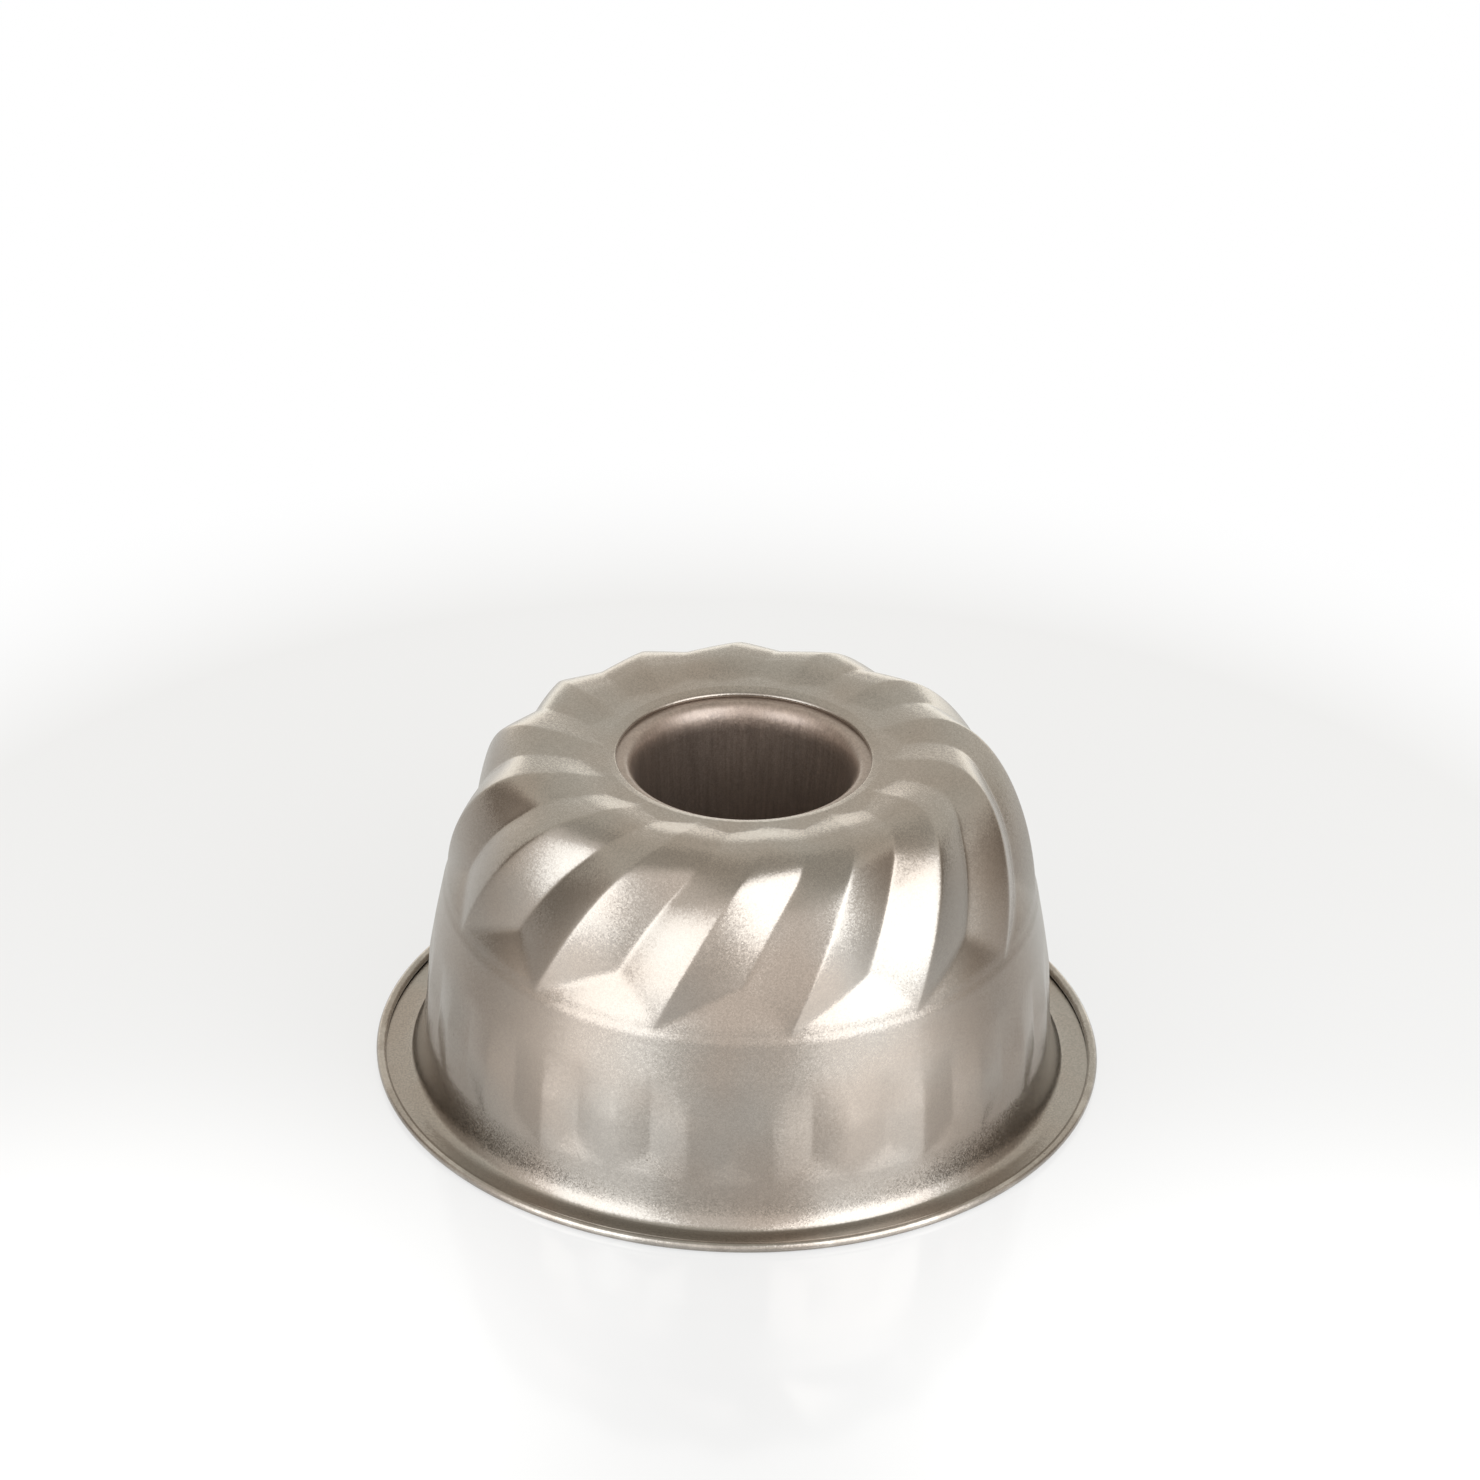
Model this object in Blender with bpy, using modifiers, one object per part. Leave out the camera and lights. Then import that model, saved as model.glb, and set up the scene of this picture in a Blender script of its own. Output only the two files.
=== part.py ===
"""Fluted tube pan (gugelhupf pan), standing upside down on its rolled rim.

Two pressed sheets make it: the fluted body and the centre tube, folded into each
other in a lock seam round the hole. Metres, +Z up. The origin lies on the pan's axis,
in the plane that the rim stands on. Angles run from the front (-Y) towards +X.
"""

import math

import bmesh
import bpy
from mathutils import Vector

# Sheet
SHEET = 0.0005              # thickness of the coated steel
SEAM_GAP = 0.0003           # clearance between the folded sheets of the seam

# Rim: a flat flange whose edge is rolled up into a bead
RIM_DIAMETER = 0.240        # over the bead
BEAD_DIAMETER = 0.0033
FLANGE_WIDTH = 0.0097       # flat, from the bead's centre to the fillet
RIM_FILLET = 0.0045         # between flange and wall
CURL_END = math.radians(205)        # where the rolled edge stops, short of the flange

# Wall, from the rim up to the belt, and the plain band above the belt
BELT_RADIUS = 0.0975
BELT_HEIGHT = 0.0631
WALL_DRAFT = math.radians(11)
BAND_HEIGHT = 0.0029        # from the belt to the feet of the dome's flutes
BAND_INSET = 0.0010         # how far the band leans in over that height

# Upright flutes pressed into the wall
WALL_FLUTES = 25
WALL_FLUTE_ANGLE = math.radians(-0.7)       # middle of the flute at the front
WALL_FLUTE_FOOT = 0.0150    # where a flute has run out at its foot
WALL_VALLEY_FOOT = 0.0235   # where its valley ends in the closing facet
WALL_RIDGE_BEND = 0.0330    # below this a ridge runs almost upright down to the fillet
WALL_RIDGE_SINK = 0.00035   # how far it lies inside the plain wall's line there
WALL_RIDGE_TOP = 0.0450     # where a ridge between two flutes meets the plain wall
WALL_VALLEY_TOP = 0.0495    # where a valley meets it
WALL_VALLEY_DRAFT = math.radians(4.8)

# Dome, from the band over the crest to the flat ring round the hole
CREST_RADIUS = 0.0623
CREST_HEIGHT = 0.1153
FLANK_FULLNESS = 0.763      # 1 and 1 are a quarter of an ellipse, less is fuller
TOP_FULLNESS = 0.963
DOME_LEAN = 0.0022          # how far the half-way point leans inwards from that curve
RING_HEIGHT = 0.1128        # flat ring round the hole

# Swirling flutes of the dome
FLUTES = 14
FLUTE_ANGLE = math.radians(9.9)             # a ridge's foot at the band
FLUTE_DEPTH = 0.0044        # on the dome's flank
CREST_FLUTE_DEPTH = 0.0023  # on the crest
DEEP_SHARE = 0.45           # share of the dome's climb with the full depth
SWIRL = math.radians(22.2)  # turn of a flute from its foot to the crest
INNER_SWIRL = math.radians(3.7)             # its further turn from crest to hole
RUNOUT = 0.345              # depth gained by the closing facet for each length of climb

# Lock seam: the body's edge and the tube's edge are two hooks, one inside the other
SEAM_RADIUS = 0.0445        # where the body bends down to the seam
HOOK_RADIUS = 0.0423        # centre of the body's bend
HOOK_DROP = 0.0007          # fall of the body between those two
HOOK_LENGTH = 0.0036        # body's leg under the fold
TUBE_HOOK_LENGTH = 0.0035   # tube's leg inside the body's hook

# Centre tube
SHOULDER_RADIUS = 0.0040    # rounding from the seam into the tube
TUBE_TOP_RADIUS = 0.0355    # inside, under the shoulder
TUBE_END_RADIUS = 0.0302    # inside, at the free end
TUBE_END_HEIGHT = 0.0060    # free end above the plane of the rim
HEM_RADIUS = 0.0013         # small roll at the free end
HEM_TURN = math.radians(250)

# Facets
RIM_COLUMNS = 76
WALL_COLUMNS = 4 * WALL_FLUTES
DOME_COLUMNS = 6 * FLUTES
RING_COLUMNS = 56
TUBE_COLUMNS = 44

# Worked out from the sizes above
DOME_RADIUS = BELT_RADIUS - BAND_INSET      # the dome's foot
DOME_HEIGHT = BELT_HEIGHT + BAND_HEIGHT
FOLD_INSIDE = SHEET + 2 * SEAM_GAP          # room that one folded sheet needs in a hook
HOOK_BEND = FOLD_INSIDE / 2 + SHEET         # outer radius of a hook's bend
HOOK_CENTRE = RING_HEIGHT - HOOK_DROP - HOOK_BEND
HOOK_UNDERSIDE = HOOK_CENTRE - HOOK_BEND
TUBE_RING_HEIGHT = HOOK_UNDERSIDE - SEAM_GAP


def arc(centre_r, centre_z, radius, start, end, steps):
    """Points (r, z) on an arc of a profile, both ends included."""
    turn = (end - start) / steps
    angles = [start + turn * step for step in range(steps + 1)]
    return [(centre_r + radius * math.cos(a), centre_z + radius * math.sin(a)) for a in angles]


def place(radius, angle, height):
    return Vector((radius * math.sin(angle), -radius * math.cos(angle), height))


def sawtooth(turns):
    """1 at every whole turn and 0 half way between, straight in between: a V-shaped fold."""
    return 2 * abs(turns - math.floor(turns) - 0.5)


def plain_ring(radius, height, columns, start=0):
    step = math.tau / columns
    return [(radius, start + step * column, height) for column in range(columns)]


def rim_profile():
    """The upper side of the rim, from the rolled edge to the top of the fillet."""
    roll = BEAD_DIAMETER / 2
    roll_centre = RIM_DIAMETER / 2 - roll
    curl = arc(roll_centre, roll, roll - SHEET, CURL_END, -math.pi / 2, 6)
    fillet_centre = roll_centre - FLANGE_WIDTH
    return curl + arc(fillet_centre, SHEET + RIM_FILLET, RIM_FILLET, -math.pi / 2, -math.pi, 3)


def plain_wall(height):
    """Radius of the wall above its flutes."""
    return BELT_RADIUS + (BELT_HEIGHT - height) * math.tan(WALL_DRAFT)


def line(height, low, high):
    """Radius at a height on the straight line through two points (height, radius)."""
    share = (height - low[0]) / (high[0] - low[0])
    return low[1] + (high[1] - low[1]) * share


def ridge_line(height):
    """Radius of a ridge: almost upright from the fillet to its bend, then close to the wall's draft."""
    fillet_radius, fillet_height = rim_profile()[-1]
    bend = (WALL_RIDGE_BEND, plain_wall(WALL_RIDGE_BEND) - WALL_RIDGE_SINK)
    if height < WALL_RIDGE_BEND:
        return line(height, (fillet_height, fillet_radius), bend)
    return line(height, bend, (WALL_RIDGE_TOP, plain_wall(WALL_RIDGE_TOP)))


def valley_line(height):
    return plain_wall(WALL_VALLEY_TOP) + (WALL_VALLEY_TOP - height) * math.tan(WALL_VALLEY_DRAFT)


def wall_radius(height, ridge):
    """Radius of the wall. ridge is 1 on the ridge between two flutes and 0 in a valley."""
    flute = valley_line(height) + (ridge_line(height) - valley_line(height)) * ridge
    foot = (WALL_FLUTE_FOOT, ridge_line(WALL_FLUTE_FOOT))
    closing = line(height, foot, (WALL_VALLEY_FOOT, valley_line(WALL_VALLEY_FOOT)))
    return max(min(plain_wall(height), flute), closing)


def wall_ring(height):
    step = math.tau / WALL_COLUMNS
    ring = []
    for column in range(WALL_COLUMNS):
        turns = column / WALL_COLUMNS * WALL_FLUTES
        angle = WALL_FLUTE_ANGLE + step * column
        ring.append((wall_radius(height, 1 - sawtooth(turns)), angle, height))
    return ring


def dome_point(climb):
    """(radius, height) of a ridge: climb is 0 at its foot, 1 on the crest, 2 at the seam."""
    if climb <= 1:
        quarter = climb * math.pi / 2
        out = max(math.cos(quarter), 0) ** FLANK_FULLNESS
        up = math.sin(quarter) ** TOP_FULLNESS
        lean = DOME_LEAN * math.sin(2 * quarter)
        radius = CREST_RADIUS + (DOME_RADIUS - CREST_RADIUS) * out - lean
        return radius, DOME_HEIGHT + (CREST_HEIGHT - DOME_HEIGHT) * up
    inward = climb - 1
    radius = CREST_RADIUS + (SEAM_RADIUS - CREST_RADIUS) * inward
    return radius, CREST_HEIGHT - (CREST_HEIGHT - RING_HEIGHT) * inward ** 2


def dome_normal(climb):
    """Outward direction (radius, height) of the ridge's profile."""
    reach = 0.01
    low = Vector(dome_point(max(climb - reach, 0)))
    high = Vector(dome_point(min(climb + reach, 2)))
    along = (high - low).normalized()
    return along.y, -along.x


def flute_depth(climb):
    """Full depth of a valley: deep on the flank and shallow on the crest."""
    fade = min(max((climb - DEEP_SHARE) / (1 - DEEP_SHARE), 0), 1)
    deep = 0.5 + 0.5 * math.cos(math.pi * fade)
    return CREST_FLUTE_DEPTH + (FLUTE_DEPTH - CREST_FLUTE_DEPTH) * deep


def length_above_foot(climb):
    """Length of the ridge from its foot, near enough for the closing facet."""
    radius, height = dome_point(climb)
    return math.hypot(DOME_RADIUS - radius, height - DOME_HEIGHT)


def swirl(climb):
    return SWIRL * min(climb, 1) + INNER_SWIRL * max(climb - 1, 0)


def dome_ring(climb):
    radius, height = dome_point(climb)
    out_r, out_z = dome_normal(climb)
    deepest = RUNOUT * length_above_foot(climb)
    if climb > 1:
        deepest = height - RING_HEIGHT
    step = math.tau / DOME_COLUMNS
    ring = []
    for column in range(DOME_COLUMNS):
        ridge = sawtooth(column / DOME_COLUMNS * FLUTES)
        depth = min(flute_depth(climb) * (1 - ridge), deepest)
        angle = FLUTE_ANGLE + swirl(climb) + step * column
        ring.append((radius - depth * out_r, angle, height - depth * out_z))
    return ring


def hook_profile():
    """The body's edge, bent down at the hole and folded back under itself."""
    bend = arc(HOOK_RADIUS, HOOK_CENTRE, HOOK_BEND, math.pi / 2, 3 * math.pi / 2, 4)
    return bend + [(HOOK_RADIUS + HOOK_LENGTH, HOOK_UNDERSIDE)]


def body_rings():
    """Cross-sections of the body's outer side, from the rolled rim to the seam."""
    rings = [plain_ring(radius, height, RIM_COLUMNS) for radius, height in rim_profile()]
    wall_heights = [WALL_FLUTE_FOOT, (WALL_FLUTE_FOOT + WALL_VALLEY_FOOT) / 2, WALL_VALLEY_FOOT,
                    WALL_RIDGE_BEND, WALL_RIDGE_TOP, (WALL_RIDGE_TOP + WALL_VALLEY_TOP) / 2,
                    WALL_VALLEY_TOP]
    rings += [wall_ring(height) for height in wall_heights]
    rings.append(plain_ring(BELT_RADIUS, BELT_HEIGHT, DOME_COLUMNS, FLUTE_ANGLE))
    climbs = [0, 0.06, 0.12, 0.22, 0.36, 0.50, 0.64, 0.80, 1, 1.25, 1.55]
    rings += [dome_ring(climb) for climb in climbs]
    rings.append(plain_ring(SEAM_RADIUS, RING_HEIGHT, RING_COLUMNS))
    rings += [plain_ring(radius, height, RING_COLUMNS) for radius, height in hook_profile()]
    return rings


def join_rings(bm, lower, upper):
    """Faces between two rings of (angle, vertex), which may have unlike numbers of columns."""
    if len(lower) == len(upper):
        pairs = zip(lower, upper, lower[1:] + lower[:1], upper[1:] + upper[:1])
        for (_, a), (_, d), (_, b), (_, c) in pairs:
            bm.faces.new((a, b, c, d))
        return
    ahead = [math.remainder(angle - lower[0][0], math.tau) for angle, _ in upper]
    start = min(range(len(upper)), key=lambda column: abs(ahead[column]))
    upper = upper[start:] + upper[:start]
    offset = ahead[start]
    low = high = 0
    while low < len(lower) or high < len(upper):
        next_low = (low + 1) / len(lower) * math.tau
        next_high = (high + 1) / len(upper) * math.tau + offset
        a = lower[low % len(lower)][1]
        d = upper[high % len(upper)][1]
        if high == len(upper) or (low < len(lower) and next_low <= next_high):
            low += 1
            bm.faces.new((a, lower[low % len(lower)][1], d))
        else:
            high += 1
            bm.faces.new((a, upper[high % len(upper)][1], d))


def new_object(name, mesh, material):
    mesh.materials.append(material)
    obj = bpy.data.objects.new(name, mesh)
    bpy.data.collections["fluted_tube_pan"].objects.link(obj)
    return obj


def thicken(obj):
    """Gives an open surface the sheet's thickness, away from its face side."""
    wall = obj.modifiers.new("sheet", "SOLIDIFY")
    wall.thickness = SHEET
    wall.offset = -1
    wall.use_even_offset = True


def coating(name, color, roughness):
    material = bpy.data.materials.new(name)
    material.use_nodes = True
    shader = material.node_tree.nodes["Principled BSDF"]
    shader.inputs["Base Color"].default_value = (*color, 1)
    shader.inputs["Metallic"].default_value = 0.9
    shader.inputs["Roughness"].default_value = roughness
    material.diffuse_color = (*color, 1)
    return material


def make_body(material):
    bm = bmesh.new()
    rings = []
    for ring in body_rings():
        rings.append([(angle, bm.verts.new(place(radius, angle, z))) for radius, angle, z in ring])
    for lower, upper in zip(rings, rings[1:]):
        join_rings(bm, lower, upper)
    mesh = bpy.data.meshes.new("fluted_body")
    bm.to_mesh(mesh)
    bm.free()
    mesh.shade_smooth()
    mesh.set_sharp_from_angle(angle=math.radians(12))
    thicken(new_object("fluted_body", mesh, material))


def tube_profile():
    """The tube's inner side, from its edge in the seam to the roll at its free end."""
    bend = FOLD_INSIDE / 2
    hook_height = TUBE_RING_HEIGHT + bend
    hook_radius = HOOK_RADIUS + HOOK_LENGTH + SEAM_GAP
    edge = (hook_radius - TUBE_HOOK_LENGTH, hook_height + bend)
    hook = arc(hook_radius, hook_height, bend, math.pi / 2, -math.pi / 2, 4)
    shoulder_radius = TUBE_TOP_RADIUS + SHOULDER_RADIUS
    shoulder_height = TUBE_RING_HEIGHT - SHOULDER_RADIUS
    shoulder = arc(shoulder_radius, shoulder_height, SHOULDER_RADIUS, math.pi / 2, math.pi, 5)
    roll = HEM_RADIUS - SHEET
    hem = arc(TUBE_END_RADIUS - roll, TUBE_END_HEIGHT + HEM_RADIUS, roll, 0, -HEM_TURN, 5)
    return [edge] + hook + shoulder + hem


def make_tube(material):
    bm = bmesh.new()
    points = [bm.verts.new((radius, 0, height)) for radius, height in tube_profile()]
    for first, second in zip(points, points[1:]):
        bm.edges.new((first, second))
    mesh = bpy.data.meshes.new("centre_tube")
    bm.to_mesh(mesh)
    bm.free()
    obj = new_object("centre_tube", mesh, material)
    turn = obj.modifiers.new("turn", "SCREW")
    turn.steps = turn.render_steps = TUBE_COLUMNS
    turn.use_merge_vertices = True
    turn.merge_threshold = 0.00001
    turn.use_normal_flip = True
    turn.use_smooth_shade = True
    thicken(obj)


def main():
    for obj in list(bpy.data.objects):
        bpy.data.objects.remove(obj)
    pan = bpy.data.collections.new("fluted_tube_pan")
    bpy.context.scene.collection.children.link(pan)
    make_body(coating("body_coating", (0.42, 0.37, 0.31), 0.34))
    make_tube(coating("tube_coating", (0.38, 0.33, 0.28), 0.38))


main()
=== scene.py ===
"""Looks of a fluted tube pan, standing upside down on its rolled rim in a white studio.

The body and the centre tube are modelled again with fine folds, in the places that the
frame gives them. Metres, +Z up. Angles run from the front (-Y) towards +X.
"""

import math

import bmesh
import bpy
import numpy as np
from bpy.props import FloatProperty, FloatVectorProperty, IntProperty, PointerProperty
from mathutils import Matrix, Vector


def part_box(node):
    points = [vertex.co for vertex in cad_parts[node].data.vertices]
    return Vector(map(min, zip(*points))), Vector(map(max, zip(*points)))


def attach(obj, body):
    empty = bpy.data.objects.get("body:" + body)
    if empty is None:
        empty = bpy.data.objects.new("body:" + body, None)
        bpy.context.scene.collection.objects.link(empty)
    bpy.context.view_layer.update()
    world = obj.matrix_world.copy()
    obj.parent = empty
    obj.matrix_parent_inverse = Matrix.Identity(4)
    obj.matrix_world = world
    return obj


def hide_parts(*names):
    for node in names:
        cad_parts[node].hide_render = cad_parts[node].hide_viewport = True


bl_info = {
    "name": "Fluted tube pan",
    "version": (1, 0, 0),
    "blender": (4, 5, 0),
    "location": "3D View > Sidebar > Tube pan",
    "description": "Models and finishes a fluted tube pan and its studio",
    "category": "Add Mesh",
}

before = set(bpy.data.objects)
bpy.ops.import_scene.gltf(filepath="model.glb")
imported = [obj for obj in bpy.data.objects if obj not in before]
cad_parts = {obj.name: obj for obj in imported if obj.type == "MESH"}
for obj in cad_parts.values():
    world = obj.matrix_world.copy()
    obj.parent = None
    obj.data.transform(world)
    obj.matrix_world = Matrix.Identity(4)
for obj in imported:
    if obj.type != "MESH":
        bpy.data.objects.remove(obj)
CAD_LOW, CAD_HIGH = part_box("fluted_body")
PAN_BODY = "root"  # the frame's only body

# Stretches of the body's sheet. A station is a stretch's number plus the share of it passed.
RIM, WALL, BAND, DOME, CROWN, HOOK, SHEET_END = range(7)


def length(name, description, default):
    return FloatProperty(name=name, description=description, default=default, min=0,
                         unit="LENGTH", precision=5)


def angle(name, description, degrees):
    return FloatProperty(name=name, description=description, default=math.radians(degrees),
                         subtype="ANGLE")


def share(name, description, default, highest=1):
    return FloatProperty(name=name, description=description, default=default, min=0,
                         max=highest, precision=3)


def colour(name, description, default):
    return FloatVectorProperty(name=name, description=description, default=default,
                               min=0, max=1, subtype="COLOR")


class BodySizes(bpy.types.PropertyGroup):
    """Sizes of the pressed body"""
    sheet: length("Sheet", "Thickness of the coated steel", 0.0005)
    rim_diameter: length("Rim diameter", "Over the rolled bead", round(CAD_HIGH.x - CAD_LOW.x, 3))
    bead: length("Bead", "Diameter of the rolled edge", 0.0033)
    curl_end: angle("Curl end", "Where the rolled edge stops, seen in section", 205)
    flange: length("Flange", "Flat, from the bead's centre to the wall's foot", 0.0097)
    flare: length("Flare", "Spread of the wall's foot each time its height falls by e", 0.0017)
    flare_bend: length("Flare bend", "The smaller, the tighter the corner on the flange", 0.0010)
    flare_height: length("Flare height", "Height of the flared foot", 0.0135)
    belt_radius: length("Belt radius", "Where the wall ends under the dome", 0.0975)
    belt_height: length("Belt height", "Of the same line above the table", 0.0631)
    draft: angle("Draft", "Lean of the plain wall", 11)
    band_height: length("Band height", "From the belt to the feet of the dome's flutes", 0.0029)
    band_inset: length("Band inset", "How far the band leans in", 0.0010)
    crest_radius: length("Crest radius", "Radius of the highest line", 0.0623)
    crest_height: length("Crest height", "Its height above the table", CAD_HIGH.z)
    flank_fullness: share("Flank fullness", "1 is a quarter of an ellipse, less is fuller", 0.763)
    top_fullness: share("Top fullness", "The same for the heights", 0.963)
    lean: length("Lean", "How far the half-way point leans in from that curve", 0.0022)
    ring_height: length("Ring height", "Of the flat ring round the hole", 0.1128)
    ring_radius: length("Ring radius", "Where the ridges have run down to it", 0.0460)
    columns: IntProperty(name="Columns", description="Faces round the pan", default=350, min=28)


class FluteSizes(bpy.types.PropertyGroup):
    """Sizes of the flutes pressed into wall and dome"""
    wall_count: IntProperty(name="Wall flutes", description="Upright flutes", default=25, min=3)
    wall_angle: angle("Wall flute angle", "Middle of the flute at the front", -0.7)
    wall_foot: length("Wall foot", "Where a flute has run out at its foot", 0.0150)
    wall_valley_foot: length("Wall valley foot", "Where its valley ends", 0.0235)
    wall_bend: length("Wall ridge bend", "Under it a ridge is almost upright", 0.0330)
    wall_sink: length("Wall ridge sink", "How far it lies inside the plain wall there", 0.00035)
    wall_ridge_top: length("Wall ridge top", "Where a ridge meets the plain wall", 0.0450)
    wall_valley_top: length("Wall valley top", "Where a valley meets it", 0.0495)
    wall_valley_draft: angle("Wall valley draft", "Lean of a valley", 4.8)
    wall_fold: length("Wall fold", "Half the width of a fold's rounding", 0.0004)
    wall_edge: length("Wall edge", "Depth over which a wall facet's edge is rounded", 0.0002)
    count: IntProperty(name="Dome flutes", description="Swirling flutes", default=14, min=3)
    angle: angle("Dome flute angle", "Foot of a ridge at the band", 9.9)
    depth: length("Depth", "On the dome's flank", 0.0044)
    crest_depth: length("Crest depth", "On the crest", 0.0013)
    ring_depth: length("Ring depth", "At the tips of the flat ring", 0.0007)
    tip_share: share("Tip share", "Share of the way from crest to seam at those tips", 0.6)
    deep_share: share("Deep share", "Share of the climb with the full depth", 0.58)
    swirl: angle("Swirl", "Turn of a flute from foot to crest", 22.2)
    inner_swirl: angle("Inner swirl", "Further turn from crest to hole", 3.7)
    runout: share("Runout", "Depth gained by the closing facet for each length of climb", 0.345)
    fold: length("Dome fold", "Half the width of a fold's rounding", 0.0008)
    edge: length("Edge", "Depth over which a facet's edge is rounded", 0.0004)
    ring_edge: length("Ring edge", "The same round the flat ring", 0.00012)


class SeamSizes(bpy.types.PropertyGroup):
    """Sizes of the lock seam round the hole"""
    gap: length("Gap", "Between the folded sheets", 0.0003)
    radius: length("Seam radius", "Where the body bends down", 0.0445)
    hook_radius: length("Hook radius", "Centre of the body's bend", 0.0423)
    drop: length("Drop", "Fall of the body between those two", 0.0007)
    hook: length("Hook", "Body's leg under the fold", 0.0036)
    tube_hook: length("Tube hook", "Tube's leg inside the body's hook", 0.0035)


class TubeSizes(bpy.types.PropertyGroup):
    """Sizes of the centre tube"""
    shoulder: length("Shoulder", "Width of the rounding from the seam into the tube", 0.0040)
    shoulder_height: length("Shoulder height", "Its height", 0.0090)
    top_radius: length("Top radius", "Inside, under the shoulder", 0.0355)
    end_radius: length("End radius", "Inside, at the free end", 0.0302)
    end_height: length("End height", "Free end above the table", 0.0060)
    hem_radius: length("Hem radius", "Small roll at the free end", 0.0013)
    hem_turn: angle("Hem turn", "How far the hem is rolled", 250)
    columns: IntProperty(name="Columns", description="Faces round the tube", default=160, min=28)


class CoatingLook(bpy.types.PropertyGroup):
    """Finish of the non-stick coating"""
    body: colour("Body", "Champagne coating outside", (0.340, 0.310, 0.273))
    warm: colour("Warm", "Patches where the coating is browner", (0.335, 0.283, 0.236))
    patch: length("Patch", "Size of those patches", 0.05)
    tube: colour("Tube", "Coating inside the tube", (0.360, 0.285, 0.235))
    speck: colour("Speck", "Dust under the coat", (0.10, 0.085, 0.07))
    rubbed: colour("Rubbed", "Bead where it is rubbed", (0.60, 0.56, 0.50))
    roughness: share("Roughness", "Satin sheen of the body", 0.24)
    tube_roughness: share("Tube roughness", "The tube is duller", 0.40)
    tube_metal: share("Tube metal", "Metallic share of the tube's coat", 0.85)
    binder: share("Binder", "Weight of the clear binder over the flakes", 0.7)
    binder_roughness: share("Binder roughness", "Sheen of the clear binder", 0.25)
    flake: length("Flake", "Size of the metal flakes", 0.00042)
    flake_tilt: share("Flake tilt", "How far the flakes lie out of the surface", 0.09)
    glint: share("Glint", "How much lighter or darker a flake is than the coat", 0.10)
    sheen: share("Sheen", "How much the roughness differs from flake to flake", 0.03)
    wave: length("Wave", "Distance between the sheet's shallow waves", 0.045)
    wave_depth: length("Wave depth", "From crest to trough", 0.00022)
    draw_line: length("Draw line", "Width of the lines from drawing the tube", 0.0011)
    peel: length("Peel", "Distance between the bumps of the sprayed coat", 0.0034)
    peel_depth: length("Peel depth", "From crest to trough", 0.000010)


class StudioLook(bpy.types.PropertyGroup):
    """Camera, lamps, background and floor"""
    frame_x: FloatProperty(name="Frame X", default=-0.000027, precision=6,
                           description="Aimed point right of the frame's middle, in half frames")
    frame_y: FloatProperty(name="Frame Y", default=0.241203, precision=6,
                           description="The same, below the middle")
    focal: FloatProperty(name="Focal length", description="On a 36 mm wide frame", default=121.6,
                         unit="CAMERA")
    distance: length("Distance", "From the camera to the aim", 1.644602)
    elevation: angle("Elevation", "Camera above the horizon", 29.325)
    roll: angle("Roll", "Turn of the camera about its view", 1.3462)
    aim: length("Aim height", "Height of the aimed point on the pan's axis", 0.05)
    # Painted shade: the floor's colour is darker near the pan than far off, so that the pan's walls
    # mirror a darker table.
    floor: colour("Floor", "Pale table top near the pan", (0.58, 0.58, 0.58))
    far_floor: colour("Far floor", "The same far from the pan", (0.80, 0.80, 0.80))
    floor_reach: length("Floor reach", "From the pan's axis to the floor's sides", 6.0)
    floor_ior: FloatProperty(name="Floor IOR", description="Gloss of the floor", default=2.6, min=1)
    near: length("Near", "Distance from the pan's axis up to which the floor is darker", 0.3)
    far: length("Far", "Distance from which it has its far colour", 0.9)
    floor_roughness: share("Floor roughness", "Sheen of the floor", 0.10)
    glow: share("Floor glow", "Share of the floor that reflections see as white", 0.12)
    camera_glow: share("Camera glow", "Share of it that the camera sees as white", 0.62)
    shadow_start: length("Shadow start", "Distance up to which the camera sees the shadow", 0.14)
    shadow_end: length("Shadow end", "Distance from which it sees the floor as white", 0.45)
    lamp_distance: length("Lamp distance", "From the pan to the soft boxes", 0.55)
    lamp_tint: colour("Lamp tint", "Cool light of the soft boxes", (0.87, 0.935, 1))
    left_lamp: FloatProperty(name="Left lamp", description="Power", default=2.0, unit="POWER")
    right_lamp: FloatProperty(name="Right lamp", description="Power", default=3.6, unit="POWER")
    left_pool: FloatProperty(name="Left pool", description="Power of the spot on the table",
                             default=26, unit="POWER")
    right_pool: FloatProperty(name="Right pool", description="Power", default=26, unit="POWER")
    pool_angle: angle("Pool angle", "Opening of the two spots", 27)
    pool_radius: length("Pool radius", "Distance of the two pools of light from the axis", 0.28)
    spot_radius: length("Spot radius", "The same for the spots that make them", 0.40)
    spot_height: length("Spot height", "Of the spots above the table", 0.75)
    front: share("Front", "Light of the room in front, where the camera stands", 1.3, 5)
    back: share("Back", "Light of the room behind the pan", 0.88, 5)
    backdrop: share("Backdrop", "Light of the low backdrop behind the pan", 1.75, 5)
    sides: share("Sides", "Light of the room at the two sides", 0.30, 5)
    ceiling: share("Ceiling", "Light of the room from above", 0.65, 5)
    front_tint: colour("Front tint", "Colour of the room in front", (1, 0.975, 0.955))
    back_tint: colour("Back tint", "Khaki of the room behind and above", (1, 0.975, 0.90))
    side_tint: colour("Side tint", "Brown of the room at the two sides", (1, 0.88, 0.76))


def arc(centre_r, centre_z, radius, start, end, steps):
    """Points (r, z) on an arc of a profile, both ends included."""
    angles = np.linspace(start, end, steps + 1)
    return np.column_stack((centre_r + radius * np.cos(angles), centre_z + radius * np.sin(angles)))


def smoothstep(value):
    value = np.clip(value, 0, 1)
    return value * value * (3 - 2 * value)


def lesser(a, b, width):
    """The lesser of two heights, with the edge where they cross rounded over this width."""
    mix = np.clip(0.5 + (b - a) / (2 * width), 0, 1)
    return b + (a - b) * mix - width * mix * (1 - mix)


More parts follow.
